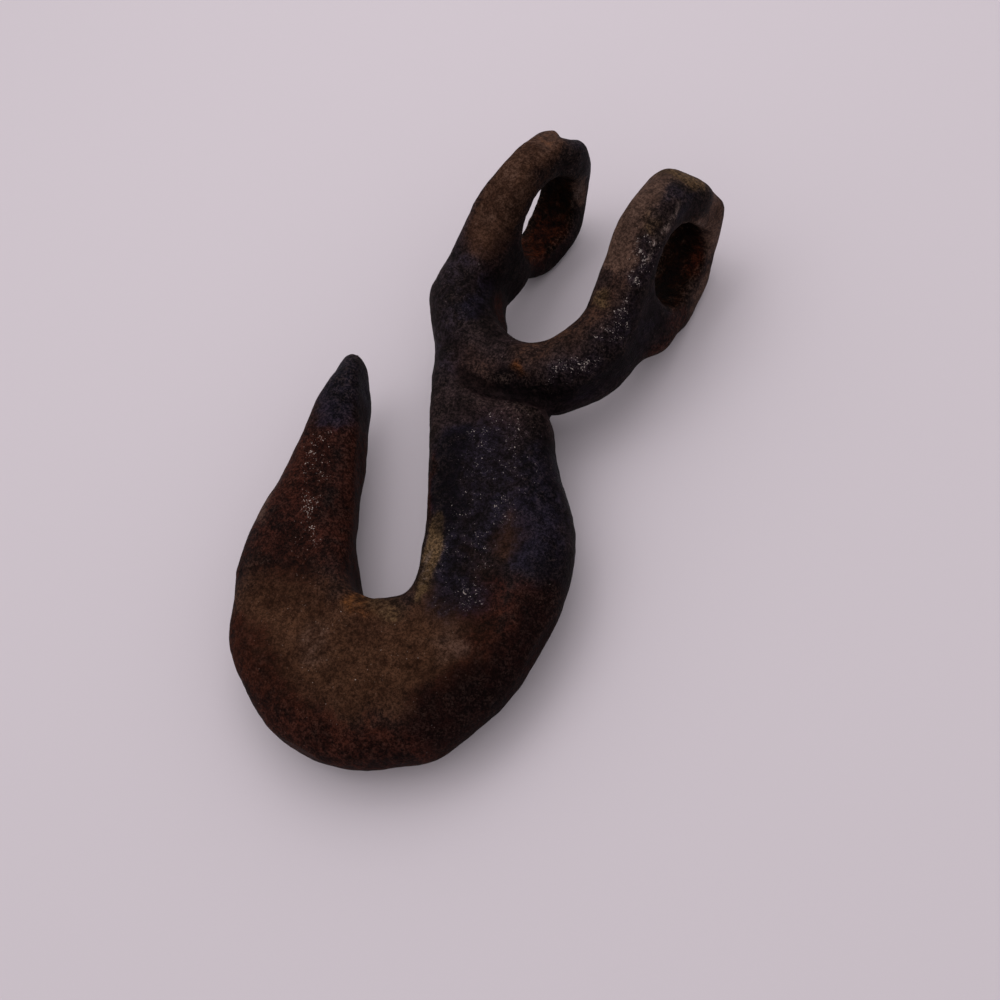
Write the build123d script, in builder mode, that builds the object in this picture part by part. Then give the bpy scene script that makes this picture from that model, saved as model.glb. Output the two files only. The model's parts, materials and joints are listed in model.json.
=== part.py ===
"""Clevis grab hook, drop-forged in one piece, for short-link lifting and tow chain.

A flat hook body runs from a tapered point, round a parallel chain slot and up a
leaning shank. The shank ends in a clevis: a bar bent into a U, with a round eye on
each arm for the clevis pin.

Millimetres. The origin is the centre of the pin bore. +X runs along the pin, +Y along
the line of load towards the tops of the eyes, and +Z is up. The hook lies as it comes
to rest on a flat surface: on the rims of its two eyes and the underside of its bowl.
"""

import os
from math import asin, cos, degrees, pi, radians, sin, sqrt

from build123d import *

# --- Clevis: eyes and U-shaped bar ---------------------------------------------------
bore_diameter = 14.6         # hole for the clevis pin
bore_lip = 0.8               # rounding where the bore meets the faces of an eye
eye_diameter = 26.0
eye_thickness = 7.8
eye_rounding = 2.9           # rounding of an eye's outer edges
clevis_gap = 17.6            # clear width between the eyes
arm_width = 9.4              # across the bar, in the arms
arm_height = 16.8            # the bar's height beside the eyes
bend_height = 14.2           # the bar's height where the arms start to bend
crotch_width = 9.5           # across the bar, at the bottom of the U
crotch_height = 13.4         # the bar's height at the bottom of the U
arm_length = 16.0            # from the pin's centre to where the arms start to bend
crotch_depth = 13.1          # from there to the middle of the bar in the U's bottom

# --- Chain slot and bowl -------------------------------------------------------------
slot_width = 12.0
slot_lean = 29.3             # between the slot and the line of load, in degrees
slot_side = 0.5              # X of the centre of the slot's round bottom
slot_reach = 65.8            # how far that centre lies below the pin
bowl_radii = (24.3, 26.7, 29.8, 30.6, 29.4, 27.2, 28.0)  # about that centre, evenly spaced
bowl_thickness = 13.2

# --- Point ---------------------------------------------------------------------------
point_length = 39.4          # from the centre of the slot's bottom to the tip
point_widths = (15.0, 9.2)   # at a third and at two thirds of that length
point_thickness = 8.2        # at the tip
tip_width = 5.4              # where the tip starts to round off
tip_length = 6.5             # the rounded end
tip_sharpness = 1.4          # 1 for an elliptical end, more for a sharper one
tip_centring = 0.3           # 0 keeps the tip on the slot's side, 0.5 puts it in the middle
tip_turns = (78, 60, 42, 22)  # where the end's sections lie, as angles of its rounding
tip_flare = 1.7              # how far the slot's wall leans away at the tip

# --- Shank ---------------------------------------------------------------------------
shank_thickness = 11.4       # at the slot
neck_thickness = 11.8        # half way up
shank_widths = (21.2, 18.4, 13.4, 9.4)  # at each quarter of the way from slot to elbow
elbow_start = 0.77           # how far up the shank its sections start to turn towards the arm
elbow_turn = 0.7             # how much of the way they turn, at the elbow

# --- Cross-section -------------------------------------------------------------------
body_rounding = 0.42         # rounding of the body's outer edges, as a share of its thickness
slot_rounding = 0.27         # the same of its edges along the slot, which are crisper
bar_rounding = 0.48          # rounding of the clevis bar's edges, as a share of its width
root_share = 0.8             # where an arm runs out on its eye, as a share of the bore's radius
root_fullness = 0.96         # an arm's section there, as a share of the eye's
joint_fullness = 0.93        # the shank's section inside the arm, as a share of the arm's
flat_limit = 0.45            # the most of an eye's thickness that one rounding may take
wall_limits = (0.55, 0.4)    # the same of its wall, for the outer and the inner rounding

# Directions in the plane of the hook: up the slot, and across it towards the shank.
lean = radians(slot_lean)
up_slot = Vector(-sin(lean), cos(lean))
over_slot = Vector(cos(lean), sin(lean))
slot_centre = Vector(slot_side, -slot_reach)
slot_radius = slot_width / 2
arm_offset = (clevis_gap + eye_thickness) / 2
bore_radius = bore_diameter / 2
eye_radius = eye_diameter / 2


def between(start, end, share):
    """The value that lies at a share of the way from start to end."""
    return start + (end - start) * share


def smooth_between(values, share):
    """Read evenly spaced values at a share of the way along them, on a smooth curve."""
    place = share * (len(values) - 1)
    index = min(int(place), len(values) - 2)
    t = place - index
    before = values[max(index - 1, 0)]
    start, end = values[index], values[index + 1]
    after = values[min(index + 2, len(values) - 1)]
    rise_in, rise_out = (end - before) / 2, (after - start) / 2
    bend = 3 * (end - start) - 2 * rise_in - rise_out
    twist = 2 * (start - end) + rise_in + rise_out
    return start + rise_in * t + bend * t**2 + twist * t**3


def cross_section(centre, across, along, width, height, outer=body_rounding, inner=slot_rounding):
    """A section of the forging, square to the direction along it. Across points to the slot."""
    with BuildSketch(Plane(origin=centre, x_dir=across, z_dir=along)) as section:
        Rectangle(width, height)
        fillet(section.vertices().group_by(Axis.X)[-1], inner * min(width, height))
        fillet(section.vertices().group_by(Axis.X)[0], outer * min(width, height))
    return section.sketch


def point_sections():
    """The point, from its rounded tip down to the level of the slot's bottom."""
    shoulder = point_length - tip_length
    stations = []
    for degrees_round in tip_turns:
        turn = radians(degrees_round)
        fullness = cos(turn) ** tip_sharpness
        stations.append((shoulder + tip_length * sin(turn), tip_width * fullness, fullness))
    stations.append((shoulder, tip_width, 1.0))
    stations.append((point_length * 2 / 3, point_widths[1], 1.0))
    stations.append((point_length / 3, point_widths[0], 1.0))
    sections = []
    for rise, width, fullness in stations:
        height = between(bowl_thickness, point_thickness, rise / point_length) * fullness
        flare = tip_flare * (rise / point_length) ** 3 + tip_centring * tip_width * (1 - fullness)
        centre = slot_centre + up_slot * rise - over_slot * (slot_radius + flare + width / 2)
        sections.append(cross_section(centre, over_slot, up_slot * -1, width, height))
    return sections


def bowl_sections(steps=20):
    """The bowl, fanned round the centre of the slot's bottom from point to shank."""
    sections = []
    for step in range(steps + 1):
        share = step / steps
        turn = pi * share
        outward = over_slot * -cos(turn) + up_slot * -sin(turn)
        along = over_slot * sin(turn) + up_slot * -cos(turn)
        width = smooth_between(bowl_radii, share) - slot_radius
        height = between(bowl_thickness, shank_thickness, max(0.0, 2 * share - 1))
        centre = slot_centre + outward * (slot_radius + width / 2)
        sections.append(cross_section(centre, outward * -1, along, width, height))
    return sections


def shank_sections(steps=9):
    """The shank, from the slot's level past its elbow into the clevis's left arm."""
    wall_start = slot_centre + over_slot * slot_radius
    wall_length = (wall_start.X + arm_offset + arm_width / 2) / sin(lean)
    widths = (bowl_radii[-1] - slot_radius,) + shank_widths
    heights = (shank_thickness, neck_thickness, joint_fullness * bend_height)
    sections = []
    for step in range(1, steps + 1):
        share = step / steps
        turned = max(0.0, share - elbow_start) / (1 - elbow_start)
        turn = lean * (1 - elbow_turn * turned)
        along = Vector(-sin(turn), cos(turn))
        across = Vector(cos(turn), sin(turn))
        width = smooth_between(widths, share)
        height = smooth_between(heights, share)
        centre = wall_start + up_slot * (wall_length * share) + across * (width / 2)
        inner = between(slot_rounding, bar_rounding, share**2)
        sections.append(
            cross_section(centre, across * -1, along, width, height, body_rounding, inner)
        )
    # The shank ends inside the arm, just under its surface.
    arm = Vector(-arm_offset, -(arm_length + eye_radius) / 2)
    width, height = joint_fullness * arm_width, joint_fullness * bend_height
    sections.append(
        cross_section(arm, (-1, 0), (0, 1), width, height, bar_rounding, bar_rounding)
    )
    return sections


def bar_sections(bends=16):
    """The clevis bar, from the left eye round the bottom of the U to the right eye."""
    # Each arm runs out on the eye's rim, so that from the side the eye is a teardrop.
    root_level = root_share * bore_radius
    root_height = 2 * sqrt(eye_radius**2 - root_level**2)
    root = (root_level, root_fullness * eye_thickness, root_fullness * root_height)
    arm = (eye_radius, arm_width, arm_height)
    stations = []
    for level, width, height in (root, arm):
        stations.append(((-arm_offset, -level), (1, 0), (0, -1), width, height))
    for step in range(bends + 1):
        turn = pi * step / bends
        share = sin(turn) ** 2
        centre = Vector(-arm_offset * cos(turn), -arm_length - crotch_depth * sin(turn))
        along = Vector(arm_offset * sin(turn), -crotch_depth * cos(turn)).normalized()
        across = Vector(-along.Y, along.X)
        width = between(arm_width, crotch_width, share)
        height = between(bend_height, crotch_height, share)
        stations.append((centre, across, along, width, height))
    for level, width, height in (arm, root):
        stations.append(((arm_offset, -level), (-1, 0), (0, 1), width, height))
    return [cross_section(*station, bar_rounding, bar_rounding) for station in stations]


def eye_profile(side):
    """The section of an eye's ring, which is turned about the pin's axis."""
    wall = eye_radius - bore_radius
    with BuildSketch(Plane.XY) as profile:
        with Locations((side * arm_offset, bore_radius + wall / 2)):
            Rectangle(eye_thickness, wall)
        outer = profile.vertices().group_by(Axis.Y)[-1]
        inner = profile.vertices().group_by(Axis.Y)[0]
        fillet(outer, min(eye_rounding, flat_limit * eye_thickness, wall_limits[0] * wall))
        fillet(inner, min(bore_lip, flat_limit * eye_thickness, wall_limits[1] * wall))
    return profile.sketch


with BuildPart() as hook_body:
    loft(point_sections() + bowl_sections() + shank_sections(), ruled=True)
    loft(bar_sections(), ruled=True)
    for side in (-1, 1):
        revolve(eye_profile(side), axis=Axis.X)
    bore_length = clevis_gap + 4 * eye_thickness  # runs out past both eyes
    Cylinder(bore_radius, bore_length, rotation=(0, 90, 0), mode=Mode.SUBTRACT)

# At rest a flat surface touches both eyes and the far edge of the bowl's flat underside,
# so the hook leans a little.
contact_reach = slot_reach + max(bowl_radii) - body_rounding * bowl_thickness
rest_lean = degrees(asin((eye_radius - bowl_thickness / 2) / contact_reach))
hook = hook_body.part.rotate(Axis.X, rest_lean)
hook.label = "hook_body"

os.makedirs("parts", exist_ok=True)
export_step(hook, "parts/hook_body.step")
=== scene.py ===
"""The looks of an old clevis grab hook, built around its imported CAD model.

The forging's mesh is copied, remeshed and sculpted in code: crowned flat sides, a crease
under the clevis bar, a leaning left arm, dents, worn eyes, lumps and pits. Its finish is
one procedural material, guided by masks that are painted in strokes over the finished
shape. Sculpting is done in millimetres, in the hook's own plane, and the mesh goes back
to metres in the row frame at the end.
"""

import json
from math import cos, pi, radians, sin

import bpy
import numpy as np
from mathutils import Matrix, Vector, noise


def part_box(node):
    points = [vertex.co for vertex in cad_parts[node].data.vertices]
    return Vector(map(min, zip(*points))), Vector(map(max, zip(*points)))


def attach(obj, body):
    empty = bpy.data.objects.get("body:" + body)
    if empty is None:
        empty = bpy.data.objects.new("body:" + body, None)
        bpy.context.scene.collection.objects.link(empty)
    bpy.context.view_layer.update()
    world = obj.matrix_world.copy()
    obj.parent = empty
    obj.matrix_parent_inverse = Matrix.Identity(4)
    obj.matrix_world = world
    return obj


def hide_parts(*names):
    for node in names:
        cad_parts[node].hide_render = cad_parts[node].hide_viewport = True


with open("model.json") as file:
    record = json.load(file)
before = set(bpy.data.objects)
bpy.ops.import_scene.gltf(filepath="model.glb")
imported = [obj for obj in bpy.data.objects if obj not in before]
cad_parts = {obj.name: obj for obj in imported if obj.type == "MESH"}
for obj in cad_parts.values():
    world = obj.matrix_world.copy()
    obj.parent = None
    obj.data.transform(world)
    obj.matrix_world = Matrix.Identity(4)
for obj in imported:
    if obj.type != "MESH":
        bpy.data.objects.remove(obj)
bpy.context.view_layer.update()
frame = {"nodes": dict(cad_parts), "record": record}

MM = 0.001
NODE = "hook_body"
NOISE_SEED = 3               # Blender's noise vectors differ from run to run without one

# --- Camera and light (millimetres and degrees) -----------------------------------------
CAMERA_TARGET = (8.5, -47.3, -6.5)
CAMERA_AZIMUTH = -37.2       # from +X towards +Y
CAMERA_ELEVATION = 56.6
CAMERA_ROLL = 24.7
CAMERA_DISTANCE = 231.7
CAMERA_LENS = 54.0           # on a 36 mm sensor
CAMERA_NEAR_CLIP = 10.0
SKY_STRENGTH = 0.76
WINDOWS = (
    # azimuth, elevation, distance, size, share of the light
    (186.0, 66.0, 600.0, 380.0, 0.10),
    (116.0, 58.0, 310.0, 200.0, 0.15),
)
FLOOR_REACH = 3000.0         # from its middle to its sides
FLOOR_COLOUR = (206, 195, 203)
FLOOR_ROUGHNESS = 0.6
FLOOR_SHEEN = 0.2            # how strongly it mirrors what it faces

# --- Colours, as display values (a pair is a layer's darkest and lightest) ----------------
OLD_SKIN = (16, 10, 10), (36, 26, 27)
RED_RUST = (21, 6, 4), (45, 18, 11)
DUSTY_RUST = (45, 26, 17), (63, 40, 28)
# near-black scale; its blue tint is a painted reflection
SCALE_AND_BLUE_SHEEN = (4, 3, 8), (23, 20, 31)
OLIVE_EDGE = (54, 39, 25), (80, 61, 42)
TAN_DUST = (55, 39, 33), (76, 56, 48)
FRESH_RUST = (56, 28, 13), (92, 52, 24)
# near-black in the bores: dark rust and painted shade
BORE_RUST_AND_SHADE = (6, 2, 1), (20, 6, 2)
BORE_RED = (26, 9, 4), (58, 24, 13)
# the colour of the painted shade
DEEP_SHADE = (5, 2, 3)
WORN = (70, 56, 50)
# pale rims: wear and a painted highlight
PALE_EDGE = (88, 74, 70)
# the painted glints
PAINTED_GLINT = (150, 137, 132)
COATS = (
    # mask, colours, softness of its edge; each lies over the one before
    ("rust", DUSTY_RUST, 0.50),
    ("red", RED_RUST, 0.50),
    ("scale", SCALE_AND_BLUE_SHEEN, 0.50),
    ("tan", TAN_DUST, 0.45),
    ("olive", OLIVE_EDGE, 0.45),
)

# --- The finish, in shares from 0 to 1 (the bumps in millimetres) ---------------------------
PATCH_SOFTNESS = 0.45        # of the edges of fresh rust and of the painted shade's dark patches
STAIN = 0.55                 # how much of a layer's edge is a soft stain
HOLLOW_SHADE = 0.75          # how dark the painted shade is in hollows
AWAY_SHADE = 0.6            # and on the side turned from the windows
SHADE_COVER = 0.9            # how much of the colour under it the painted shade hides at most
RUB_COVER = 0.25             # how much of the skin is rubbed off where it stands proud
SKIN_ROUGHNESS = 0.55
DUST_ROUGHNESS = 0.80
SCALE_ROUGHNESS = 0.38
GRAIN_ROUGHNESS = 0.75       # of the dull grains
GRAIN_DULLNESS = 0.5         # the share of it that the dullest grain takes on
# the roughness where glints are painted
GLINT_ROUGHNESS = 0.30
SHEEN = 0.02                 # how strongly rust mirrors what it faces
BUMP_STRENGTH = 0.7
BUMP_DISTANCE = 0.4

# --- The hook's own plane, in millimetres -------------------------------------------------
mounts = {mount["name"]: mount for mount in frame["record"]["mounts"]}
bore_radius = mounts["pin_bore"]["dims"]["r_mm"]
eye_face = mounts["pin_bore"]["dims"]["length_mm"] / 2
along_slot = Vector(mounts["chain_slot"]["axis"])
plane_y = Vector((0, along_slot.y, along_slot.z)).normalized()
plane_z = Vector((1, 0, 0)).cross(plane_y)
to_plane = np.array(((1, 0, 0), plane_y, plane_z))
slot_bottom = (to_plane @ np.array(mounts["chain_slot"]["pos_m"]) / MM)[:2]
slot_up = (to_plane @ np.array(along_slot))[:2]
slot_over = np.array((slot_up[1], -slot_up[0]))
low_corner, high_corner = (np.array(corner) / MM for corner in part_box(NODE))

# --- Mesh and noise (millimetres) -----------------------------------------------------------
COARSE_VOXEL = 0.86          # halved again once the facets are smoothed away
FACET_ROUNDS = 36            # of smoothing
CLEVIS_SMOOTHING = 0.25      # the clevis gets this share of it, and keeps its rims
CLEVIS_END = (33, 40)        # how far below the pin that share rises to the whole
SHRINK, SWELL = 0.55, 0.57   # the two moves in a round of smoothing
MELTING = 0.6                # the move in a round of melting
SOFTENING = 0.5              # the share of one round of melting that the finished shape gets
SHIFT_ALONG = (1, 2.3, -1.7)  # how far a noise moves along X, Y and Z for a shift of one
OCTAVE_FADE = 0.7            # how fast the finer octaves of a noise get weaker
OCTAVE_GAP = 2.1             # how much finer each octave is than the one before
PIT_RADIUS = 0.42            # as a share of the size of the pits' cells
PIT_SCATTER = 17.3           # spreads the cells, so that each gets its own chance
SHALLOW_PIT = 0.4            # the depth of the shallowest pits, as a share of the deepest
BOX_MARGIN = 0.001           # inside the CAD box
SMALLEST = 1e-6              # keeps a division away from zero

# --- Crowns: the share of its height that a flat side loses at its outer edge ---------------
SLOT_RADIUS = 6.0
BOWL_CROWN = 0.16
BOWL_FLAT = 0.25             # the share of the way outwards that stays flat
BOWL_OVERRUN = 1.1           # the most of that way, for points past the edge
BOWL_ENDS = (-4, 8)          # how far up the slot the bowl gives way to point and shank
BOWL_START = -4              # the turn at which it starts, in degrees
BOWL_LIMIT = 40              # farther than any of its points lie from the slot
TURN_BINS = 90
POINT_CROWN = 0.20
POINT_WIDTH = 22.0           # beside the slot's bottom
POINT_TAPER = 16.0           # how much narrower it is at its tip
POINT_LENGTH = 39.0
POINT_MIDDLE = 0.46          # where its ridge lies, as a share of its width from the slot
POINT_OVERRUN = 1.2          # the most of its crown, for points past its edges
SHANK_CROWN = 0.14
SHANK_FLAT = 6.0             # beside the slot
SHANK_FALL = 16.0            # from there to the shank's right side
SHANK_END = (34, 38)         # how far below the pin it starts
UNDERSIDE_CROWN = 0.55       # the underside's crowns, as a share of the upper side's

# --- Large forms (millimetres) --------------------------------------------------------------
BAR_HALF_WIDTH = 17.4        # the outer edge of the clevis bar's bend is half an ellipse
BAR_DEPTH = 17.9
BAR_LEVEL = -16.0
CREASE_PLACE = 0.6           # outside that edge
CREASE_WIDTH = 1.6
CREASE_DEPTH = 1.8
CREASE_TOP = (24, 30)        # how far below the pin the crease begins
CREASE_LEFT = (-9, 2)        # the X over which it deepens from the left
CREASE_RIGHT = (-15, -11)    # the -X over which it deepens from the right
CREASE_HEIGHT = (1.0, 4.0)   # how far from the middle plane it deepens
NECK = (6, -38.5, 0)
NECK_REACH = (9, 5.5, 99)
NECK_THINNING = 0.09
LEFT_ARM_LEAN = 0.12         # sideways, for each millimetre above the level it turns about
LEFT_ARM_LEVEL = -4.0
LEFT_ARM_SIDE = (4, 7)       # how far left of the middle the leaning sets in
LEFT_ARM_ROOT = (-34, -18)   # and over which Y
RIM_WIDTH = 1.7              # of the part of a bore's rim that a flare bends
RIM_FOCUS = 3                # how narrow a flare is: more is narrower
PUSHES = (
    # centre, reach, move
    # The point: its tip, both edges, a worn corner and its back.
    ((-25.5, -36.8, 0.0), (4.0, 3.0, 6.0), (0.5, 1.15, 0.0)),
    ((-26.8, -36.6, 1.2), (1.6, 2.0, 3.0), (-0.35, 0.2, 0.1)),
    ((-21.3, -42.5, -3.0), (3.0, 4.0, 5.0), (0.45, 0.15, 0.0)),
    ((-23.0, -60.5, 4.0), (3.0, 5.0, 5.0), (0.55, 0.0, -0.25)),
    ((-26.6, -40.0, 3.6), (2.2, 2.2, 3.0), (0.35, 0.0, -0.3)),
    ((-25.9, -46.0, 3.0), (2.5, 4.0, 4.0), (-0.4, 0.0, 0.2)),
    # Around the bowl, from its left shoulder to the shank's right side.
    ((-22.5, -74.0, 4.0), (4.0, 12.0, 4.0), (-1.0, -0.1, 0.3)),
    ((-14.0, -87.0, 3.0), (6.0, 6.0, 4.0), (-0.7, -0.6, 0.3)),
    ((2.0, -95.0, 1.0), (14.0, 4.0, 5.0), (0.0, -0.5, 0.0)),
    ((20.5, -87.5, -2.5), (3.5, 3.5, 5.0), (0.4, -0.45, 0.0)),
    ((24.8, -79.5, -3.5), (3.0, 4.0, 5.0), (-0.45, 0.15, 0.0)),
    ((22.9, -49.5, -2.0), (4.0, 5.0, 6.0), (0.4, 0.3, 0.0)),
    # The slot's right edge and its bottom.
    ((6.3, -62.8, 3.0), (2.5, 3.0, 4.0), (-0.6, -0.2, 0.0)),
    ((7.0, -68.8, 4.0), (2.2, 2.2, 4.0), (0.55, -0.35, 0.0)),
    ((-4.4, -69.8, -3.5), (2.0, 2.2, 4.0), (0.1, 0.2, 0.0)),
    # The notch below the clevis bar, and the bowl's right shoulder.
    ((9.5, -31.0, -3.0), (3.0, 3.0, 4.0), (0.45, -0.35, -0.1)),
    ((27.0, -62.0, 2.0), (4.0, 10.0, 5.0), (0.4, 0.0, 0.1)),
    # The slot's worn lower edge.
    ((-8.5, -63.5, -4.5), (3.5, 4.5, 4.0), (-0.8, -0.45, 0.5)),
    ((-12.0, -57.0, -4.5), (4.0, 5.0, 4.0), (-0.65, -0.4, 0.4)),
    # The shank's right corner.
    ((15.3, -38.4, 1.0), (4.0, 3.5, 9.0), (-0.7, -0.6, 0.0)),
    ((18.1, -42.0, 1.0), (3.0, 3.0, 9.0), (-0.5, -0.45, 0.0)),
    # The neck's left side.
    ((-10.0, -34.5, 2.0), (3.0, 4.0, 6.0), (-0.35, -0.2, 0.0)),
    ((-6.0, -41.0, 3.0), (3.0, 6.0, 5.0), (-0.4, -0.1, 0.1)),
    # The right eye's lower side, and the arm below it.
    ((16.8, -9.2, -7.0), (3.0, 5.0, 4.5), (1.7, -0.4, -0.3)),
    ((16.3, -4.0, -10.8), (3.0, 4.0, 4.0), (0.6, -0.1, -0.4)),
    ((16.4, 3.2, -10.8), (3.0, 5.0, 4.0), (0.5, 0.0, -0.4)),
    ((16.7, -18.0, -4.0), (3.0, 3.5, 5.0), (-0.4, 0.1, 0.1)),
    ((16.8, -13.0, -7.0), (3.0, 2.5, 4.0), (0.4, -0.1, -0.2)),
    # The right eye's outer corner, and its top.
    ((16.2, 10.2, -3.0), (2.8, 4.2, 4.5), (0.9, 0.3, -0.1)),
    ((16.2, 11.8, -0.4), (1.8, 1.8, 2.2), (0.7, 0.4, 0.1)),
    ((16.8, 9.5, 6.5), (2.4, 4.2, 4.0), (1.1, 0.0, 0.0)),
    ((10.5, 9.2, 8.6), (3.0, 3.0, 3.0), (-0.1, 0.4, 0.35)),
    # A burr inside its bore.
    ((8.9, 4.0, -6.4), (3.0, 3.5, 3.0), (-0.3, -0.8, 1.2)),
    # Its inner side.
    ((10.2, 7.5, 9.6), (3.5, 5.0, 4.0), (-0.6, 0.0, 0.2)),
    ((9.1, -3.0, 10.5), (3.0, 5.0, 5.0), (-0.8, 0.0, 0.0)),
    ((9.0, -8.5, 8.0), (3.0, 4.5, 5.0), (-0.7, 0.0, 0.0)),
    # A hollow below its bore, and the ridge on the right arm.
    ((17.2, -12.0, 4.0), (2.4, 5.0, 3.5), (-0.7, 0.0, 0.0)),
    ((14.0, -14.0, 7.0), (2.2, 9.0, 4.0), (0.3, 0.0, 0.5)),
    # The left eye's top corner, with a nick beside it.
    ((-9.9, 12.0, 1.8), (2.4, 2.6, 4.0), (0.55, 0.3, 0.0)),
    ((-10.0, 11.6, 4.6), (2.2, 2.4, 2.4), (0.5, 0.5, 0.5)),
    ((-11.3, 11.8, 5.6), (1.1, 1.8, 1.8), (0.0, -0.9, -0.5)),
    ((-12.6, 11.3, 6.6), (1.1, 1.6, 1.6), (0.0, 0.5, 0.3)),
    ((-14.8, 9.6, 7.8), (2.0, 2.5, 2.5), (-0.2, 0.35, 0.3)),
    ((-8.8, 10.5, 5.5), (2.6, 3.2, 4.0), (0.6, 0.0, 0.0)),
    # Its inner side and its lower corner.
    ((-8.9, -5.0, -8.0), (3.0, 5.0, 5.0), (-1.1, 0.0, 0.0)),
    ((-8.9, 1.0, -9.0), (3.0, 5.0, 4.0), (-0.5, 0.0, 0.2)),
    ((-8.9, 9.0, -5.0), (2.6, 4.5, 5.0), (-1.4, 0.0, 0.0)),
    ((-8.9, -0.5, -10.0), (2.6, 3.0, 3.0), (-0.4, 0.0, 0.1)),
    ((-11.0, -8.5, -9.5), (4.0, 4.0, 4.0), (-0.4, 0.7, 1.0)),
    # Its top and its outer side, down to the arm.
    ((-14.0, 10.6, 7.1), (3.2, 3.0, 4.0), (0.0, 0.45, 0.4)),
    ((-15.4, 0.3, 12.0), (3.0, 4.5, 4.0), (0.7, 0.0, -0.1)),
    ((-16.2, -8.5, 8.0), (3.0, 4.0, 5.0), (-0.7, -0.1, 0.2)),
    ((-16.6, -17.0, 5.0), (3.0, 4.0, 5.0), (-0.45, 0.0, 0.1)),
    # The crotch between the arms, and mostly its left corner.
    ((-7.5, -22.5, 2.0), (3.0, 4.0, 6.0), (1.0, -0.1, 0.0)),
    ((-8.0, -19.8, -2.5), (3.4, 3.8, 5.5), (1.8, 0.0, 0.0)),
    ((-5.2, -23.4, -1.0), (2.6, 2.2, 5.0), (-0.2, -0.35, 0.0)),
    ((-8.0, -20.6, -6.0), (2.8, 2.6, 4.5), (0.75, 0.25, 0.0)),
    ((-9.0, -16.4, -4.0), (1.8, 1.5, 3.0), (0.2, 0.0, 0.0)),
    ((-8.0, -13.6, -4.0), (2.4, 2.6, 4.0), (-0.75, 0.0, 0.0)),
    ((8.1, -19.2, 4.9), (2.5, 4.0, 4.0), (-0.4, 0.2, 0.0)),
    ((-2.0, -24.2, 3.2), (4.0, 3.0, 4.0), (0.1, 0.45, 0.0)),
)
FLARES = (
    # side, turn in degrees from +Y towards +Z, where it starts, outwards, sideways
    (1, 130, 9.5, 1.4, -0.3),
    (1, 20, 12.5, -1.5, 0.0),
    (1, -30, 12.0, 0.4, 0.0),
    (1, -95, 11.0, -1.0, 0.0),
    (-1, 20, 9.5, -0.5, 0.0),
    (-1, -60, 9.5, -1.4, -0.5),
)

# --- Lumps, pits and ragged rims (millimetres) ----------------------------------------------
LUMPS = (
    # height, size, octaves, shift
    (0.20, 11.0, 1, 3.0),
    (0.10, 3.6, 2, 7.0),
    (0.035, 1.1, 2, 12.0),
)
PITS = (
    # depth, cell size, share of the cells
    (0.22, 2.3, 0.35),
    (0.13, 1.25, 0.45),
)
PITTING = (0.35, 0.9)        # the share of that depth everywhere, and what PITTED strokes add
SPARED = (6.0, 1, 21.0)      # size, octaves and shift of a noise that spares some places
SPARED_EDGE = (-0.5, 0.4)    # from where that noise spares a place to where it doesn't
RAGGED_RIM = (1.8, 2, 31.0)  # size, octaves and shift of the noise along the bores' rims
RAGGED_DEPTH = 0.15
RAGGED_WIDTH = 1.2
SINK = 0.05                  # of the whole surface, to make room for the lumps

# --- Strokes of the layers' masks (millimetres) ---------------------------------------------
# Each has a path, a radius and a strength. A path in the plane reaches through the hook.
# The first strokes deepen the pits, and the others are masks of the finish.
STROKE_EDGE = (-1.6, -0.3)   # a stroke fades between 0.3 and 1.6 times its radius
STROKE_WARPS = (
    # size, shift, reach of the noise that bends the strokes
    (4.5, 5.0, 1.5),
    (1.6, 9.0, 0.8),
)
EDGE_WARP = (2.0, 15.0, 0.3)  # the same for the strokes of pale edges
ARM_RIDGE = (
    (15.4, -4.7, 11.0), (15.5, -8.0, 9.4), (15.6, -13.3, 7.4),
    (15.5, -19.1, 6.0), (14.1, -24.8, 5.1), (10.9, -28.8, 4.9),
)
GLINT_SHIFT = 0.9            # the ridge's glints lie this far to its left
ARM_GLINTS = tuple((x - GLINT_SHIFT, y, z) for x, y, z in ARM_RIDGE)
POINT_RIDGE = ((-20.0, -52.0), (-16.0, -60.0), (-11.5, -69.0))

PITTED = (
    (POINT_RIDGE, 3.4, 1.0),
    (ARM_RIDGE, 3.0, 1.0),
    (((-12.0, 9.0, 8.0), (-10.0, 12.0, 2.0)), 4.0, 0.6),
    (((-12.2, -17.3, 7.1),), 3.0, 0.7),
    (((15.0, -66.0), (8.0, -62.0)), 4.5, 0.6),
    (((-1.0, -84.0), (10.0, -86.0), (20.0, -78.0)), 7.0, 0.35),
)
RED = (
    (((-21.5, -52.0), (-18.5, -60.0)), 7.0, 0.85),
    (((-18.0, -60.0), (-15.5, -68.0), (-10.0, -67.0)), 8.5, 0.72),
    (((-15.0, -50.0), (-10.5, -59.0), (-8.5, -66.0)), 2.6, 0.8),
    (((-12.6, -3.1, -6.7), (-9.8, -5.0, -5.8)), 2.4, 0.9),
    (((15.9, 5.4, -4.5), (15.9, 3.0, -6.5)), 1.6, 0.5),
    (((-22.0, -66.0), (-21.0, -76.0)), 3.5, 0.6),
    (((0.2, -48.5), (1.4, -52.5), (3.8, -57.0)), 1.1, 0.9),
    (((-14.0, -86.0), (-2.0, -93.0), (12.0, -94.0), (22.0, -87.0)), 4.5, 0.75),
    (((19.0, -64.0), (22.0, -72.0)), 3.5, 0.7),
    (((-8.7, -17.7, 5.2), (-9.3, -12.3, 7.3), (-9.0, -8.0, 6.0)), 2.6, 0.3),
    (((16.7, -7.4, -5.6), (16.6, -9.5, -4.5)), 2.0, 0.6),
    (((17.0, -6.5, -8.5), (17.2, -14.0, -6.0)), 3.4, 0.7),
    (((-12.5, 2.0, -7.0), (-10.0, -1.0, -7.2)), 3.5, 0.4),
    (((26.0, -62.0), (25.5, -74.0), (21.0, -83.0)), 4.0, 0.8),
    (((3.0, -38.0), (9.0, -37.0)), 3.5, 0.15),
    (((-7.8, -19.0, 0.0), (-5.5, -23.0, 0.0)), 2.4, 0.75),
)
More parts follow.
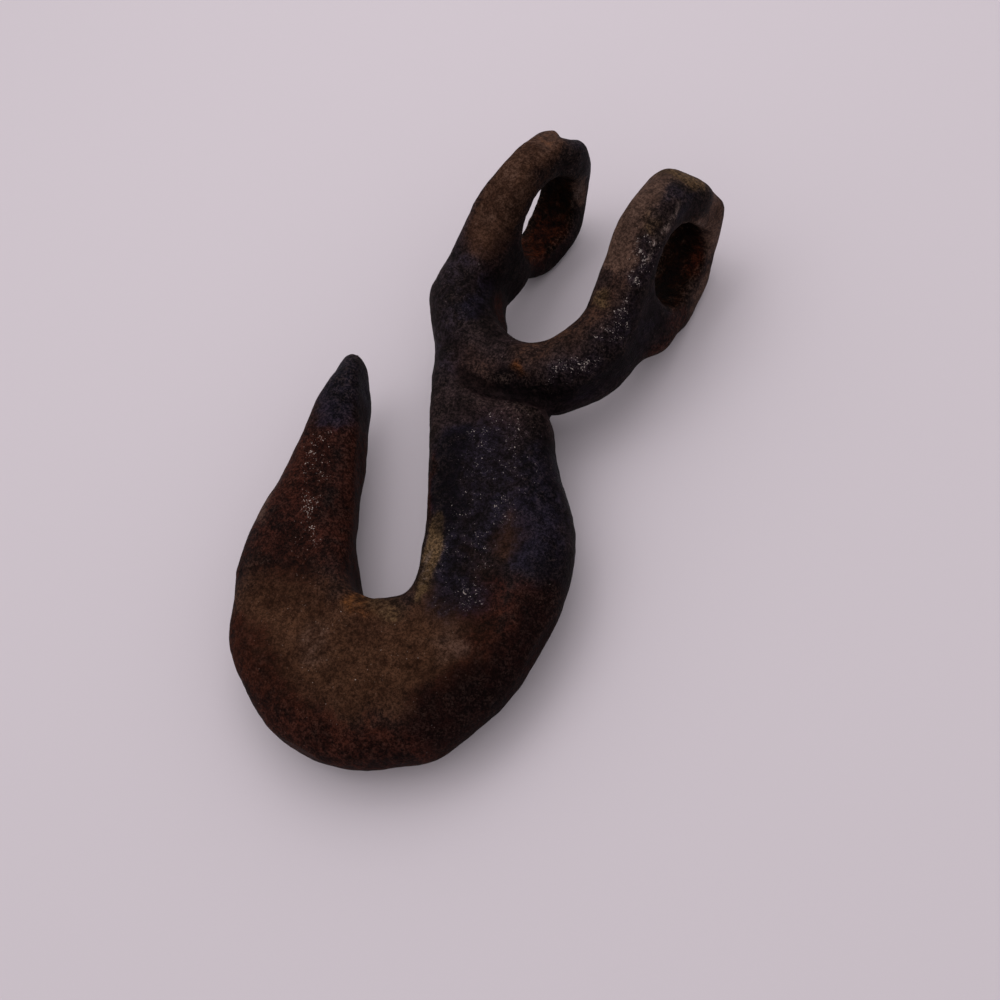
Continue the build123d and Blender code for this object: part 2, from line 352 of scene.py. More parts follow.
RUST = (
    (((-9.0, -80.5), (-1.0, -83.5), (8.0, -82.0), (16.0, -74.5)), 9.0, 1.0),
    (((2.5, -76.0), (10.0, -75.0)), 5.0, 0.9),
    (((3.8, -27.2, 6.5), (8.2, -22.6, 6.0), (11.2, -17.5, 6.8), (12.6, -12.0, 8.5)), 3.1, 0.42),
    (((11.0, -9.0, 9.5), (11.0, -4.0, 11.0)), 2.2, 0.5),
    (((16.9, -52.4), (17.6, -57.0)), 2.4, 0.7),
    (((12.0, -60.0), (17.0, -63.0)), 2.0, 0.45),
    (((-5.0, -31.5), (0.0, -33.0)), 2.4, 0.3),
    (((-12.6, -10.6, 9.3), (-11.5, -6.7, 11.1), (-11.2, 0.2, 12.9), (-10.9, 6.8, 10.8)), 4.0, 0.95),
)
SCALE = (
    (((1.0, -44.0), (3.4, -50.0), (6.5, -56.0)), 2.8, 0.95),
    (((6.0, -43.5), (11.0, -50.0), (13.5, -56.0)), 5.0, 0.6),
    (((14.5, -41.0), (19.0, -49.0), (22.5, -56.0)), 4.5, 0.75),
    (((15.5, -66.0), (9.0, -59.5)), 4.5, 0.68),
    (((-15.5, -12.0, 6.0), (-14.5, -20.0, 6.5), (-12.5, -27.0, 6.0), (-9.0, -33.0, 6.0)), 4.6, 0.42),
    (((-9.0, -24.0, 6.0), (-8.7, -17.7, 5.2)), 2.8, 0.7),
    (((-24.5, -39.5), (-21.5, -47.0)), 3.4, 0.85),
    (ARM_RIDGE, 2.2, 0.5),
    (((18.5, -6.0, 1.0), (18.0, -18.0, 1.0), (13.0, -27.5, 1.0)), 4.5, 0.5),
    (((15.1, 5.0, 11.6), (13.9, 2.7, 12.7)), 1.8, 0.6),
    (((16.3, 6.5, 9.2), (16.4, 3.0, 10.2)), 1.8, 0.7),
    (((-9.3, 10.5, 5.1), (-9.0, 11.5, 1.0)), 2.8, 0.9),
)
OLIVE = (
    (((9.7, -68.0), (7.7, -62.5), (5.7, -57.6)), 1.4, 0.9),
    (((1.0, -73.2), (7.5, -72.0)), 1.6, 0.5),
    (((9.8, 8.6, 9.4), (12.0, 9.8, 8.8), (14.3, 9.1, 9.2)), 2.3, 0.95),
    (((13.0, -1.0, 12.2), (14.6, -2.0, 11.6)), 1.6, 0.5),
    (((10.6, -15.0, 7.0),), 1.5, 0.7),
)
TAN = (
    (((-12.0, -8.6, 10.3), (-11.5, -4.7, 11.8), (-11.2, 0.2, 12.9), (-10.9, 6.8, 10.8)), 2.6, 0.42),
    (((-10.9, 6.8, 10.8), (-12.0, 10.0, 7.6)), 2.6, 1.0),
    (((10.3, -7.0, 10.0), (10.6, 2.0, 11.8), (11.0, 7.0, 10.0)), 3.2, 1.0),
    (((16.6, 5.6, 3.6), (16.6, 6.6, 1.5), (16.6, 8.8, -0.6)), 1.9, 1.0),
    (((16.6, 10.4, 1.5), (16.2, 10.8, 4.5)), 2.4, 0.9),
    (((16.9, 9.0, -3.0), (16.9, 8.0, -7.0)), 2.5, 1.0),
    (((16.9, 3.5, -10.0), (17.0, -2.5, -10.0)), 2.4, 0.75),
    (((-8.7, 7.8, -1.9), (-8.7, 7.5, -5.0)), 1.3, 0.9),
    (((-8.7, 8.8, 1.0), (-8.7, 8.2, -2.5)), 1.3, 0.8),
    (((-21.9, -68.0), (-24.2, -60.0), (-26.2, -52.0)), 1.1, 0.55),
    (((-1.5, -81.0), (0.5, -84.0)), 2.0, 0.4),
    (((17.5, -72.5), (19.0, -74.0)), 2.0, 0.4),
)
ORANGE = (
    (((4.3, -30.0),), 1.1, 0.75),
    (((0.5, -73.4), (4.5, -74.2)), 1.5, 0.5),
    (((-10.9, 6.8, 10.8), (-12.0, 10.0, 7.6)), 2.6, 0.3),
)
# Painted shade: dark strokes in the crease under the clevis bar, below the right arm, on the eyes'
# inner faces, along the slot, on the bowl's side turned from the windows, and between the painted
# glints on the arm's ridge.
DARK = (
    (((-8.7, -17.7, 5.2), (-7.3, -22.0, 5.5), (-4.0, -26.0, 5.8)), 1.7, 0.6),
    (((1.2, -44.5), (3.8, -50.5), (6.8, -56.5)), 2.6, 0.75),
    (ARM_RIDGE, 1.6, 0.4),
    (((26.5, -56.0), (28.5, -66.0), (26.0, -77.0), (21.0, -84.0)), 4.2, 0.7),
    (((11.5, -29.8, 1.5), (15.5, -25.5, 1.5), (17.2, -20.0, 1.0)), 3.0, 0.8),
    (((2.3, -32.7, 6.0), (5.8, -32.0, 5.2), (8.9, -30.7, 3.2), (12.0, -28.5, 1.5)), 2.5, 1.0),
    (((12.5, -36.9, 3.9), (18.5, -43.1, 3.0)), 3.0, 0.55),
    (((-9.0, -15.0, 3.0), (-8.9, -9.5, 2.0)), 3.0, 0.7),
    (((-9.5, -14.0, 7.0), (-9.0, -8.0, 7.0)), 2.4, 0.55),
    (((16.8, -13.0, -3.0), (16.4, -20.0, -3.0)), 2.6, 0.4),
)
# Where painted glints gather.
SPARK = (
    (POINT_RIDGE, 2.4, 0.85),
    (ARM_GLINTS, 1.8, 1.0),
    (((16.0, -65.5),), 3.4, 0.85),
    (((4.5, -43.0), (8.5, -47.0)), 3.2, 0.65),
    (((-12.2, -17.3, 7.1),), 2.0, 0.9),
    (((-11.6, -23.1, 6.9),), 1.8, 0.8),
    (((8.0, -41.0), (12.0, -50.0), (12.5, -60.0)), 6.0, 0.6),
    (((-6.0, -80.0), (2.0, -84.0), (12.0, -80.0)), 9.0, 0.3),
)
# Pale lines along some rims: wear, and a painted highlight.
EDGE = (
    (((15.8, 3.0, 11.0), (16.3, -0.7, 10.9), (15.9, -4.4, 11.0), (15.6, -7.5, 9.7)), 0.45, 0.8),
    (((16.4, 5.2, 3.4), (16.4, 6.2, 1.3)), 0.6, 0.6),
    (((-8.7, 8.6, 0.5), (-8.7, 7.8, -3.5)), 0.7, 0.5),
    (((9.0, -66.5), (7.2, -62.0)), 0.5, 0.4),
)
LAYERS = {
    "rust": RUST, "red": RED, "scale": SCALE, "olive": OLIVE,
    "tan": TAN, "orange": ORANGE, "dark": DARK, "spark": SPARK,
}

# --- Masks that follow from the shape (millimetres) -----------------------------------------
BENDS = (
    # name, rounds of melting that show how hollow or proud a place is, gain
    ("fine", 5, 14.0),
    ("broad", 50, 2.2),
)
BORE_FADE = (1.1, 0.3)       # how far beyond a bore's wall its colour sets in, and is full
BORE_START = 4               # how far from the middle the eyes' bores start
SHADE_SIDE = (0.95, -0.31, 0.0)   # the side turned from the windows, where shade is painted
SHADE_EDGE = (0.35, 0.9)     # how squarely a face looks that way, from no painted shade to full painted shade
RED_SHINE = 0.8              # how much red rust lifts that painted shade


def display(red, green, blue):
    """A colour given by its display values from 0 to 255, as Blender's linear RGBA."""
    linear = []
    for value in (red, green, blue):
        share = value / 255
        linear.append(share / 12.92 if share <= 0.04045 else ((share + 0.055) / 1.055) ** 2.4)
    return (*linear, 1.0)


# ==========================================================================================
# The mesh, as arrays
# ==========================================================================================
def remeshed_copy(node, name):
    """A copy of a CAD node in millimetres, with an even skin of small quads."""
    mesh = frame["nodes"][node].data.copy()
    mesh.transform(Matrix.Scale(1 / MM, 4))
    mesh.materials.clear()
    copy = bpy.data.objects.new(name, mesh)
    bpy.context.scene.collection.objects.link(copy)
    remesh = copy.modifiers.new("remesh", "REMESH")
    remesh.mode = "VOXEL"
    remesh.voxel_size = COARSE_VOXEL
    remesh.use_smooth_shade = True
    bake_modifiers(copy)
    bpy.data.meshes.remove(mesh)
    smooth_facets(copy.data)
    copy.modifiers.new("subdivide", "SUBSURF").levels = 1
    bake_modifiers(copy)
    return copy


def smooth_facets(mesh):
    """Smooths the remeshed copy, and least at the clevis, whose rims are tighter."""
    points = read_points(mesh) @ to_plane.T
    below = step(-points[:, 1], *CLEVIS_END)
    weight = CLEVIS_SMOOTHING + (1 - CLEVIS_SMOOTHING) * below
    points = smooth(points, read_edges(mesh), FACET_ROUNDS, weight)
    write_points(mesh, points @ to_plane)


def bake_modifiers(thing):
    """Swaps a thing's mesh for the one that its modifiers make."""
    graph = bpy.context.evaluated_depsgraph_get()
    thing.data = bpy.data.meshes.new_from_object(thing.evaluated_get(graph))
    thing.modifiers.clear()


def read_points(mesh):
    points = np.empty(len(mesh.vertices) * 3)
    mesh.vertices.foreach_get("co", points)
    return points.reshape(-1, 3)


def write_points(mesh, points):
    mesh.vertices.foreach_set("co", points.astype(np.float32).ravel())
    mesh.update()


def read_edges(mesh):
    edges = np.empty(len(mesh.edges) * 2, dtype=np.int32)
    mesh.edges.foreach_get("vertices", edges)
    return edges.reshape(-1, 2)


def normals_of(mesh, points):
    """The vertex normals that the mesh has with these points."""
    write_points(mesh, points)
    normals = np.empty(len(mesh.vertices) * 3)
    mesh.vertex_normals.foreach_get("vector", normals)
    return normals.reshape(-1, 3)


def neighbour_mean(values, edges):
    """The mean of each vertex's neighbours."""
    count = np.bincount(edges.ravel(), minlength=len(values))
    total = np.empty_like(values)
    for axis in range(values.shape[1]):
        column = values[:, axis]
        total[:, axis] = np.bincount(edges[:, 0], column[edges[:, 1]], len(values))
        total[:, axis] += np.bincount(edges[:, 1], column[edges[:, 0]], len(values))
    return total / count[:, None]


def smooth(points, edges, rounds, weight):
    """Taubin smoothing: it takes out facets and keeps the volume."""
    weight = weight[:, None]
    for _ in range(rounds):
        points = points + SHRINK * weight * (neighbour_mean(points, edges) - points)
        points = points - SWELL * weight * (neighbour_mean(points, edges) - points)
    return points


def melt(points, edges, rounds, weight=1.0):
    """Plain smoothing: it fills creases and wears edges down."""
    for _ in range(rounds):
        points = points + MELTING * weight * (neighbour_mean(points, edges) - points)
    return points


def step(values, low, high):
    """0 below low, 1 above high, and a smooth rise between."""
    share = np.clip((values - low) / (high - low), 0.0, 1.0)
    return share * share * (3 - 2 * share)


def near(points, centre, reach):
    """1 at a centre, falling smoothly to 0 over a reach along each axis."""
    offset = (points - np.array(centre)) / np.array(reach)
    return np.exp(-np.sum(offset**2, axis=1))


def hill(values, centre, width):
    """1 where values reach a centre, falling smoothly to 0 over a width on both sides."""
    return np.exp(-(((values - centre) / width) ** 2))


def from_pin(points):
    """How far points lie from the pin's axis."""
    return np.hypot(points[:, 1], points[:, 2])


def noise_places(points, size, shift):
    """Where to read a noise with lumps of a given size. Each shift gives another pattern."""
    offset = Vector([share * shift for share in SHIFT_ALONG])
    return (Vector(point) / size + offset for point in points)


def noise_at(points, size, octaves, shift):
    """Noise between about -1 and 1."""
    places = noise_places(points, size, shift)
    return np.array([noise.fractal(place, OCTAVE_FADE, OCTAVE_GAP, octaves) for place in places])


def warp_at(points, size, shift, reach):
    """Three noises at once, times a reach, for pushing points about."""
    places = noise_places(points, size, shift)
    return reach * np.array([noise.noise_vector(place) for place in places])


def pits_at(points, size, share):
    """Round pits of random depth, from 0 to 1, in a share of the cells of a given size."""
    depths = []
    for point in points:
        distances, centres = noise.voronoi(Vector(point) / size)
        chance = noise.cell(centres[0] * PIT_SCATTER) / 2 + 0.5
        depth = max(0.0, 1.0 - distances[0] / PIT_RADIUS) if chance < share else 0.0
        depths.append(depth * (SHALLOW_PIT + (1 - SHALLOW_PIT) * chance / share))
    return np.array(depths)


# ==========================================================================================
# Sculpting: crowned flat sides
# ==========================================================================================
def slot_places(points):
    """How far points lie across and up the slot, and in all, from its round bottom's centre."""
    centre = slot_bottom + slot_up * SLOT_RADIUS
    offset = points[:, :2] - centre
    across, up = offset @ slot_over, offset @ slot_up
    return across, up, np.hypot(across, up)


def outer_reach(turn, distance):
    """How far the bowl reaches from the slot's centre, at each turn about it."""
    place = (turn + pi) / (2 * pi) * TURN_BINS
    bins = np.clip(place.astype(int), 0, TURN_BINS - 1)
    in_bowl = (turn > radians(BOWL_START)) & (distance < BOWL_LIMIT)
    filled = [index for index in range(TURN_BINS) if (in_bowl & (bins == index)).any()]
    reach = [distance[in_bowl & (bins == index)].max() for index in filled]
    return np.interp(place - 0.5, filled, reach)


def bowl_fall(across, up, distance):
    """The share of its height that the bowl loses towards its outer edge."""
    reach = outer_reach(np.arctan2(-up, across), distance)
    share = (distance - SLOT_RADIUS) / (reach - SLOT_RADIUS)
    outwards = np.clip((share - BOWL_FLAT) / (1 - BOWL_FLAT), 0, BOWL_OVERRUN)
    return BOWL_CROWN * outwards**2


def point_fall(across, up):
    """The share that the point loses, on both sides of a ridge nearer to the slot."""
    width = POINT_WIDTH - POINT_TAPER * np.clip(up / POINT_LENGTH, 0, 1)
    ridge = -SLOT_RADIUS - POINT_MIDDLE * width
    return POINT_CROWN * np.clip(((across - ridge) / (0.5 * width)) ** 2, 0, POINT_OVERRUN)


def shank_fall(points, across):
    """The share that the shank loses towards its right side, below the clevis."""
    outwards = np.clip((across - SLOT_RADIUS - SHANK_FLAT) / SHANK_FALL, 0, 1)
    return SHANK_CROWN * outwards**2 * step(-points[:, 1], *SHANK_END)


def crown(points):
    """A copy of the points on which the flat sides fall away towards the outer edges."""
    across, up, distance = slot_places(points)
    bowl = bowl_fall(across, up, distance)
    beside = np.where(across < 0, point_fall(across, up), shank_fall(points, across))
    fall = bowl + (beside - bowl) * step(up, *BOWL_ENDS)
    crowned = points.copy()
    crowned[:, 2] *= 1 - fall * np.where(points[:, 2] > 0, 1.0, UNDERSIDE_CROWN)
    return crowned


# ==========================================================================================
# Sculpting: large forms, which move the points in place
# ==========================================================================================
def bar_distance(points):
    """How far outside the clevis bar's outer edge a point lies, seen square to the hook."""
    x = points[:, 0] / BAR_HALF_WIDTH
    y = (points[:, 1] - BAR_LEVEL) / BAR_DEPTH
    around = np.hypot(x, y)
    scale = np.hypot(x * BAR_HALF_WIDTH, y * BAR_DEPTH) / np.maximum(around, SMALLEST)
    return (around - 1) * scale


def cut_crease(points):
    """A crease between the clevis bar and the shank, deepest on the right."""
    x, y, z = points.T
    valley = hill(bar_distance(points), CREASE_PLACE, CREASE_WIDTH)
    valley *= step(-y, *CREASE_TOP)
    valley *= step(x, *CREASE_LEFT) * step(-x, *CREASE_RIGHT)
    points[:, 2] -= np.sign(z) * CREASE_DEPTH * valley * step(np.abs(z), *CREASE_HEIGHT)


def thin_neck(points):
    """The shank is thinner just below the crease."""
    points[:, 2] *= 1 - NECK_THINNING * near(points, NECK, NECK_REACH)


def lean_left_arm(points):
    """The left arm leans inwards at its top, and out at its elbow."""
    x, y, _ = points.T
    left = step(-x, *LEFT_ARM_SIDE) * step(y, *LEFT_ARM_ROOT)
    points[:, 0] += left * LEFT_ARM_LEAN * (y - LEFT_ARM_LEVEL)


def push(points):
    """Pushes dents and bulges into the forging."""
    for centre, reach, move in PUSHES:
        points += near(points, centre, reach)[:, None] * np.array(move)


def wear_bores(points):
    """The pin has worn the bores out of round, and bent lips into their outer rims."""
    angle = np.arctan2(points[:, 2], points[:, 1])
    rim = hill(from_pin(points), bore_radius, RIM_WIDTH)
    for side, turn, start, outwards, sideways in FLARES:
        facing = np.clip(np.cos(angle - radians(turn)), 0, 1) ** RIM_FOCUS
        share = step(side * points[:, 0], start, eye_face) * rim * facing
        points[:, 0] += share * sideways
        points[:, 1] += share * outwards * np.cos(angle)
        points[:, 2] += share * outwards * np.sin(angle)


# ==========================================================================================
# Sculpting: the skin, and the whole
# ==========================================================================================
def weather(points, mesh):
    """A copy of the points with lumps, pits and ragged rims, along the surface's normals."""
    normals = normals_of(mesh, points)
    height = sum(tall * noise_at(points, *lumps) for tall, *lumps in LUMPS)
    everywhere, in_patches = PITTING
    pitted = everywhere + in_patches * paint_strokes(points, PITTED)
    pitted *= step(noise_at(points, *SPARED), *SPARED_EDGE)
    height -= pitted * sum(depth * pits_at(points, *cells) for depth, *cells in PITS)
    rim = hill(from_pin(points), bore_radius, RAGGED_WIDTH)
    height += rim * RAGGED_DEPTH * noise_at(points, *RAGGED_RIM)
    return points + normals * (height - SINK)[:, None]


def sculpt(hook):
    """Gives the hook's even skin its forms, its weathering and its masks."""
    mesh = hook.data
    edges = read_edges(mesh)
    points = crown(read_points(mesh) @ to_plane.T)
    for form in (cut_crease, thin_neck, lean_left_arm, push, wear_bores):
        form(points)
    points = weather(points, mesh)
    points = melt(points, edges, 1, SOFTENING)
    points = np.clip(points @ to_plane, low_corner + BOX_MARGIN, high_corner - BOX_MARGIN)
    points = points @ to_plane.T
    paint_layers(points, edges, mesh)
    write_points(mesh, points @ to_plane)


# ==========================================================================================
# Painting: strokes of a mask, in the hook's own plane
# ==========================================================================================
def stroke_distance(points, path):
    """The distance to a stroke's path. A path in the plane reaches through the hook."""
    axes = len(path[0])
    place = points[:, :axes]
    path = [np.array(corner) for corner in path]
    if len(path) == 1:
        return np.linalg.norm(place - path[0], axis=1)
    best = np.full(len(points), np.inf)
    for start, end in zip(path, path[1:]):
        run = end - start
        share = np.clip((place - start) @ run / (run @ run), 0, 1)
        best = np.minimum(best, np.linalg.norm(place - start - share[:, None] * run, axis=1))
    return best


def paint_strokes(points, strokes):
    """A mask from 0 to 1. Each stroke has a path, a radius and a strength."""
    mask = np.zeros(len(points))
    for path, radius, strength in strokes:
        cover = strength * step(-stroke_distance(points, path) / radius, *STROKE_EDGE)
        mask = np.maximum(mask, cover)
    return mask


def bend_masks(points, edges, normals):
    """How hollow or proud the surface is, finely and broadly."""
    masks = {}
    for name, rounds, gain in BENDS:
        drift = melt(points, edges, rounds) - points
        bend = gain * np.sum(drift * normals, axis=1)
        masks["hollow_" + name] = np.clip(bend, 0, 1)
        masks["proud_" + name] = np.clip(-bend, 0, 1)
    return masks


def paint_layers(points, edges, mesh):
    """The masks of every layer, as attributes of the mesh."""
    coarse, fine = (warp_at(points, *warp) for warp in STROKE_WARPS)
    ragged = points + coarse + fine
    masks = {name: paint_strokes(ragged, strokes) for name, strokes in LAYERS.items()}
    masks["edge"] = paint_strokes(points + warp_at(points, *EDGE_WARP), EDGE)
    normals = normals_of(mesh, points)
    masks.update(bend_masks(points, edges, normals))
    inside = step(-from_pin(points), *(-bore_radius - beyond for beyond in BORE_FADE))
    masks["bore"] = inside * (np.abs(points[:, 0]) > BORE_START) * (1 - masks["tan"])
    # The shade mask is painted shade on faces turned from the windows, less where tan or red rust
    # lies.
    lit = np.maximum(masks["tan"], RED_SHINE * masks["red"])
    masks["shade"] = step(normals @ np.array(SHADE_SIDE), *SHADE_EDGE) * (1 - lit)
    for name, values in masks.items():
        attribute = mesh.attributes.new(name, "FLOAT", "POINT")
        attribute.data.foreach_set("value", values.astype(np.float32))


# ==========================================================================================
# Material
# ==========================================================================================
class Paint:
    """Short names for building a material's node tree. Sizes are in millimetres."""

    def __init__(self, name):
        self.material = bpy.data.materials.new(name)
        self.material.use_nodes = True
        self.tree = self.material.node_tree
        self.shader = self.tree.nodes["Principled BSDF"]
        place = self.tree.nodes.new("ShaderNodeTexCoord").outputs["Object"]
        self.place = self.scaled(place, 1 / MM)

    def node(self, kind, **settings):
        made = self.tree.nodes.new(kind)
        for name, value in settings.items():
            setattr(made, name, value)
        return made

    def link(self, value, socket):
        """Gives a socket a number, a colour or another node's output."""
        if isinstance(value, bpy.types.NodeSocket):
            self.tree.links.new(value, socket)
        else:
            socket.default_value = value

    def mask(self, name):
        return self.node("ShaderNodeAttribute", attribute_name=name).outputs["Fac"]

    def noise(self, size, detail, roughness=0.6, distortion=0.0):
        made = self.node("ShaderNodeTexNoise")
        self.link(self.place, made.inputs["Vector"])
        made.inputs["Scale"].default_value = 1 / size
        made.inputs["Detail"].default_value = detail
        made.inputs["Roughness"].default_value = roughness
        made.inputs["Distortion"].default_value = distortion
        return made.outputs["Fac"]

    def math(self, operation, first, second, clamp=False):
        made = self.node("ShaderNodeMath", operation=operation, use_clamp=clamp)
        self.link(first, made.inputs[0])
        self.link(second, made.inputs[1])
        return made.outputs[0]

    def blend(self, *parts):
        """The sum of several outputs, each given with its weight."""
        total = 0.0
        for value, weight in parts:
            total = self.math("ADD", total, self.math("MULTIPLY", value, weight))
        return total

    def ramp(self, value, low, high, start=0.0, end=1.0):
        """A smooth rise from start to end, as the value goes from low to high."""
        made = self.node("ShaderNodeMapRange", interpolation_type="SMOOTHSTEP")
        self.link(value, made.inputs["Value"])
        made.inputs["From Min"].default_value = low
        made.inputs["From Max"].default_value = high
        made.inputs["To Min"].default_value = start
        made.inputs["To Max"].default_value = end
        return made.outputs["Result"]

    def broken(self, mask, pattern, softness):
        """A mask whose edge follows a noise pattern. It stays 0 at 0, and 1 at 1."""
        lifted = self.math("ADD", self.math("MULTIPLY", mask, 1 + 2 * softness), pattern)
        edge = self.ramp(lifted, 1.0, 1 + 2 * softness)
        return self.mix_value(STAIN, edge, mask)

    def mix(self, share, first, second, kind="RGBA"):
        made = self.node("ShaderNodeMix", data_type=kind)
        self.link(share, made.inputs["Factor"])
        self.link(first, made.inputs["A"])
        self.link(second, made.inputs["B"])
        return made.outputs["Result"]

    def mix_value(self, share, first, second):
        return self.mix(share, first, second, "FLOAT")

    def scaled(self, vector, gain):
        made = self.node("ShaderNodeVectorMath", operation="SCALE")
        self.link(vector, made.inputs[0])
        self.link(gain, made.inputs["Scale"])
        return made.outputs[0]


class RustPaint(Paint):
    """A paint with the noise patterns that all parts of the rust share."""

    def __init__(self, name):
        super().__init__(name)
        self.tiny = self.noise(size=0.20, detail=1.0)
        self.grain = self.noise(size=0.45, detail=2.0, roughness=0.7)
        self.fleck = self.noise(size=1.2, detail=3.0, roughness=0.7, distortion=0.2)
        self.blotch = self.noise(size=4.0, detail=4.0, distortion=0.4)
        self.cloud = self.noise(size=10.0, detail=3.0)
        # Grain and edges each mix several sizes, so that neither looks even.
        self.speckle = self.blend((self.grain, 0.55), (self.fleck, 0.15), (self.tiny, 0.3))
        edges = self.blend((self.blotch, 0.45), (self.fleck, 0.3), (self.grain, 0.25))
        self.ragged = self.ramp(edges, low=0.36, high=0.64)
        mottle = self.blend((self.fleck, 0.35), (self.blotch, 0.4), (self.cloud, 0.25))
        self.tone = self.ramp(mottle, low=0.40, high=0.60)

    def mottled(self, colours):
        """Between a layer's darkest and lightest colour, in patches."""
        darkest, lightest = colours
        return self.mix(self.tone, display(*darkest), display(*lightest))

    def patches(self, name, softness):
        return self.broken(self.mask(name), self.ragged, softness)


def coated(paint, covers):
    """Old skin under coats of rust, scale and dust, with the bores near-black: dark rust and painted
    shade.
    """
    colour = paint.mottled(OLD_SKIN)
    for name, colours, _ in COATS:
        colour = paint.mix(covers[name], colour, paint.mottled(colours))
    in_bore = paint.mix(covers["red"], paint.mottled(BORE_RUST_AND_SHADE), paint.mottled(BORE_RED))
    colour = paint.mix(paint.mask("bore"), colour, in_bore)
    return paint.mix(paint.patches("orange", PATCH_SOFTNESS), colour, paint.mottled(FRESH_RUST))


def painted_shade(paint, colour):
    """Painted shade: dark patches, darkening in hollows, and the side turned from the windows."""
    hollow = paint.math("ADD", paint.mask("hollow_fine"), paint.mask("hollow_broad"), clamp=True)
    in_hollows = paint.math("MULTIPLY", hollow, HOLLOW_SHADE)
    in_shade = paint.math("MULTIPLY", paint.mask("shade"), AWAY_SHADE)
    darkening = paint.math("MAXIMUM", paint.patches("dark", PATCH_SOFTNESS), in_hollows)
    darkening = paint.math("MAXIMUM", darkening, in_shade)
    return paint.mix(paint.math("MULTIPLY", darkening, SHADE_COVER), colour, display(*DEEP_SHADE))


def rubbed_and_highlit(paint, colour):
    """The skin is rubbed where it stands proud, and pale along some rims: wear, and a painted
    highlight.
    """
    broken = paint.ramp(paint.speckle, low=0.45, high=0.6)
    proud = paint.math("MULTIPLY", paint.mask("proud_fine"), broken)
    colour = paint.mix(paint.math("MULTIPLY", proud, RUB_COVER), colour, display(*WORN))
    broken = paint.ramp(paint.fleck, low=0.44, high=0.58, start=0.1)
    edge = paint.math("MULTIPLY", paint.mask("edge"), broken)
    return paint.mix(edge, colour, display(*PALE_EDGE))


def grained(paint, colour, covers):
    """Every grain is somewhat lighter or darker than its layer, and least in the dusty ones."""
    strong = paint.ramp(paint.speckle, low=0.40, high=0.62, start=0.45, end=2.0)
    weak = paint.ramp(paint.speckle, low=0.40, high=0.62, start=0.60, end=1.55)
    dusty = paint.math("MAXIMUM", covers["rust"], covers["tan"])
    return paint.scaled(colour, paint.mix_value(dusty, strong, weak))


def painted_glints(paint):
    """Where painted glints show, as bright specks in clusters."""
    cluster = paint.ramp(paint.blend((paint.fleck, 0.6), (paint.blotch, 0.4)), low=0.44, high=0.60)
    lucky = paint.math("MULTIPLY", paint.mask("spark"), cluster)
    dots = paint.noise(size=0.3, detail=1.0, roughness=0.8)
    glint = paint.blend((paint.tiny, 0.5), (dots, 0.5), (lucky, 0.2))
    return paint.ramp(glint, low=0.70, high=0.82)


def roughness(paint, covers, glint_mask):
    """Dust is dull, scale and the painted glints are smoother, and every grain differs."""
    rough = paint.mix_value(covers["rust"], SKIN_ROUGHNESS, DUST_ROUGHNESS)
    rough = paint.mix_value(covers["scale"], rough, SCALE_ROUGHNESS)
    dull = paint.ramp(paint.speckle, low=0.4, high=0.6, end=GRAIN_DULLNESS)
    rough = paint.mix_value(dull, rough, GRAIN_ROUGHNESS)
    return paint.mix_value(glint_mask, rough, GLINT_ROUGHNESS)


def bumps(paint):
    """A fine unevenness that only shows in the shading."""
    bump = paint.node("ShaderNodeBump")
    bump.inputs["Strength"].default_value = BUMP_STRENGTH
    bump.inputs["Distance"].default_value = BUMP_DISTANCE * MM
    height = paint.blend((paint.grain, 0.5), (paint.tiny, 0.2), (paint.fleck, 0.6))
    paint.link(height, bump.inputs["Height"])
    return bump.outputs["Normal"]


def rusted_steel():
    """The hook's one finish."""
    paint = RustPaint("rusted_steel")
    covers = {name: paint.patches(name, softness) for name, _, softness in COATS}
    glint_mask = painted_glints(paint)
    colour = coated(paint, covers)
    # painted shade, in patches, in hollows and on the side turned from the windows
    colour = painted_shade(paint, colour)
    colour = rubbed_and_highlit(paint, colour)
    colour = grained(paint, colour, covers)
    # painted glints, as bright specks
    colour = paint.mix(glint_mask, colour, display(*PAINTED_GLINT))
    paint.link(colour, paint.shader.inputs["Base Color"])
    paint.link(roughness(paint, covers, glint_mask), paint.shader.inputs["Roughness"])
    paint.link(bumps(paint), paint.shader.inputs["Normal"])
    paint.shader.inputs["Specular IOR Level"].default_value = SHEEN
    return paint.material


# ==========================================================================================
# Stage: floor, light and camera
# ==========================================================================================
def direction(azimuth, elevation):
    turn, rise = radians(azimuth), radians(elevation)
    return Vector((cos(rise) * cos(turn), cos(rise) * sin(turn), sin(rise)))


def floor_material():
    material = bpy.data.materials.new("floor")
    material.use_nodes = True
    shader = material.node_tree.nodes["Principled BSDF"]
    shader.inputs["Base Color"].default_value = display(*FLOOR_COLOUR)
    shader.inputs["Roughness"].default_value = FLOOR_ROUGHNESS
    shader.inputs["Specular IOR Level"].default_value = FLOOR_SHEEN
    return material


def make_floor():
    """A plain square that the hook lies on."""
    half = FLOOR_REACH * MM
    level = low_corner[2] * MM
    corners = [(-half, -half), (half, -half), (half, half), (-half, half)]
    mesh = bpy.data.meshes.new("floor")
    mesh.from_pydata([(x, y, level) for x, y in corners], [], [(0, 1, 2, 3)])
    mesh.materials.append(floor_material())
    floor = bpy.data.objects.new("floor", mesh)
    bpy.context.scene.collection.objects.link(floor)


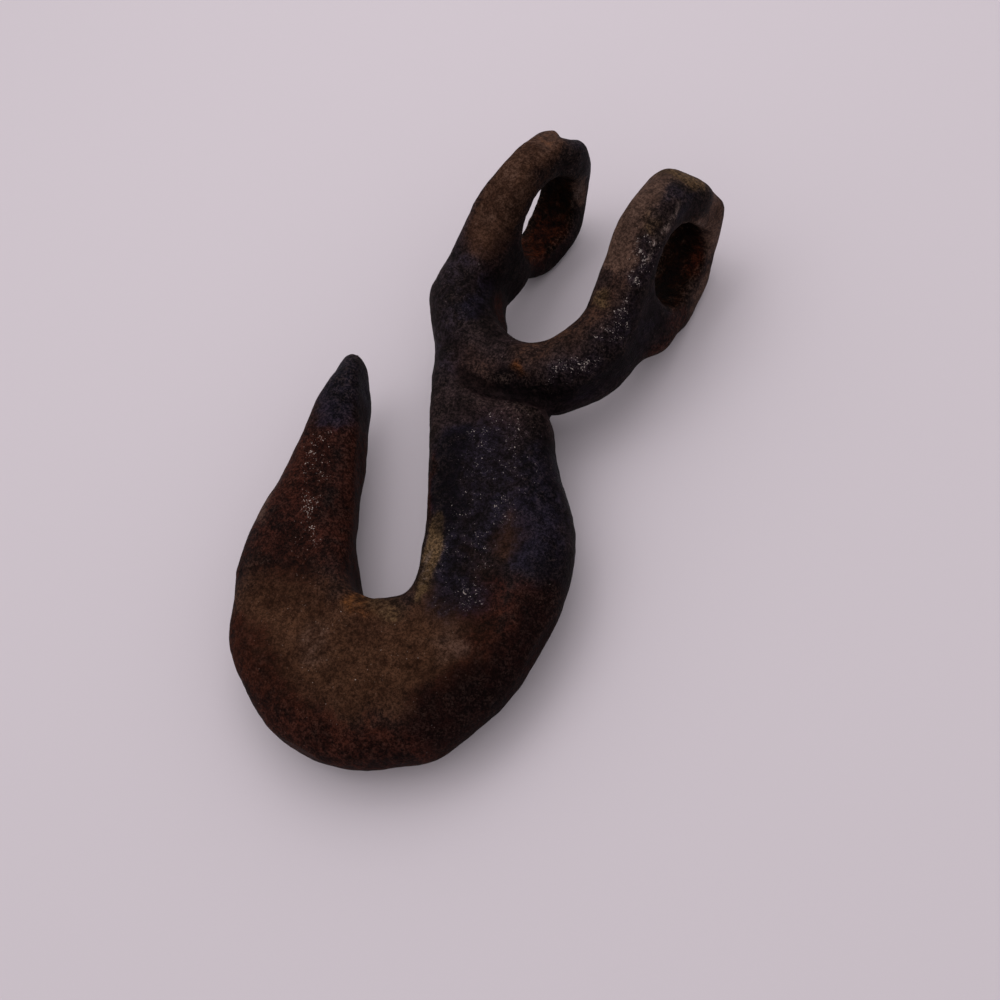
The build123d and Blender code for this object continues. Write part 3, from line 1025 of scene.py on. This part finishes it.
def make_sky():
    """Even white light from all around."""
    world = bpy.data.worlds.new("sky")
    bpy.context.scene.world = world
    world.use_nodes = True
    background = world.node_tree.nodes["Background"]
    background.inputs["Color"].default_value = (1.0, 1.0, 1.0, 1.0)
    background.inputs["Strength"].default_value = SKY_STRENGTH


def make_window(azimuth, elevation, distance, size, share):
    """A soft square light that gives the floor a share of what shows its own colour."""
    lamp = bpy.data.lights.new("window", "AREA")
    lamp.shape = "SQUARE"
    lamp.size = size * MM
    lamp.energy = share * (pi * distance * MM) ** 2 / sin(radians(elevation))
    window = bpy.data.objects.new("window", lamp)
    bpy.context.scene.collection.objects.link(window)
    towards = direction(azimuth, elevation)
    window.location = (Vector(CAMERA_TARGET) + towards * distance) * MM
    window.rotation_euler = towards.to_track_quat("Z", "Y").to_euler()


def make_camera():
    """A camera that looks down at its target, rolled about its line of sight."""
    back = direction(CAMERA_AZIMUTH, CAMERA_ELEVATION)
    level_right = Vector((0, 0, 1)).cross(back).normalized()
    level_up = back.cross(level_right)
    roll = radians(CAMERA_ROLL)
    up = level_up * cos(roll) + level_right * sin(roll)
    right = up.cross(back)
    camera = bpy.data.objects.new("camera", bpy.data.cameras.new("camera"))
    bpy.context.scene.collection.objects.link(camera)
    camera.data.lens = CAMERA_LENS
    camera.data.clip_start = CAMERA_NEAR_CLIP * MM
    turn = Matrix((right, up, back)).transposed().to_4x4()
    place = Vector(CAMERA_TARGET) * MM + back * (CAMERA_DISTANCE * MM)
    camera.matrix_world = Matrix.Translation(place) @ turn
    bpy.context.scene.camera = camera


# ==========================================================================================
# Making
# ==========================================================================================
noise.seed_set(NOISE_SEED)
make_camera()
make_floor()
make_sky()
for window in WINDOWS:
    make_window(*window)
bpy.context.scene.view_settings.view_transform = "Standard"

hook = remeshed_copy(NODE, "forged_hook")
sculpt(hook)
hook.data.transform(Matrix.Scale(MM, 4))
hook.data.materials.append(rusted_steel())
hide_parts(NODE)
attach(hook, "root")
print("triangles", sum(len(face.vertices) - 2 for face in hook.data.polygons))

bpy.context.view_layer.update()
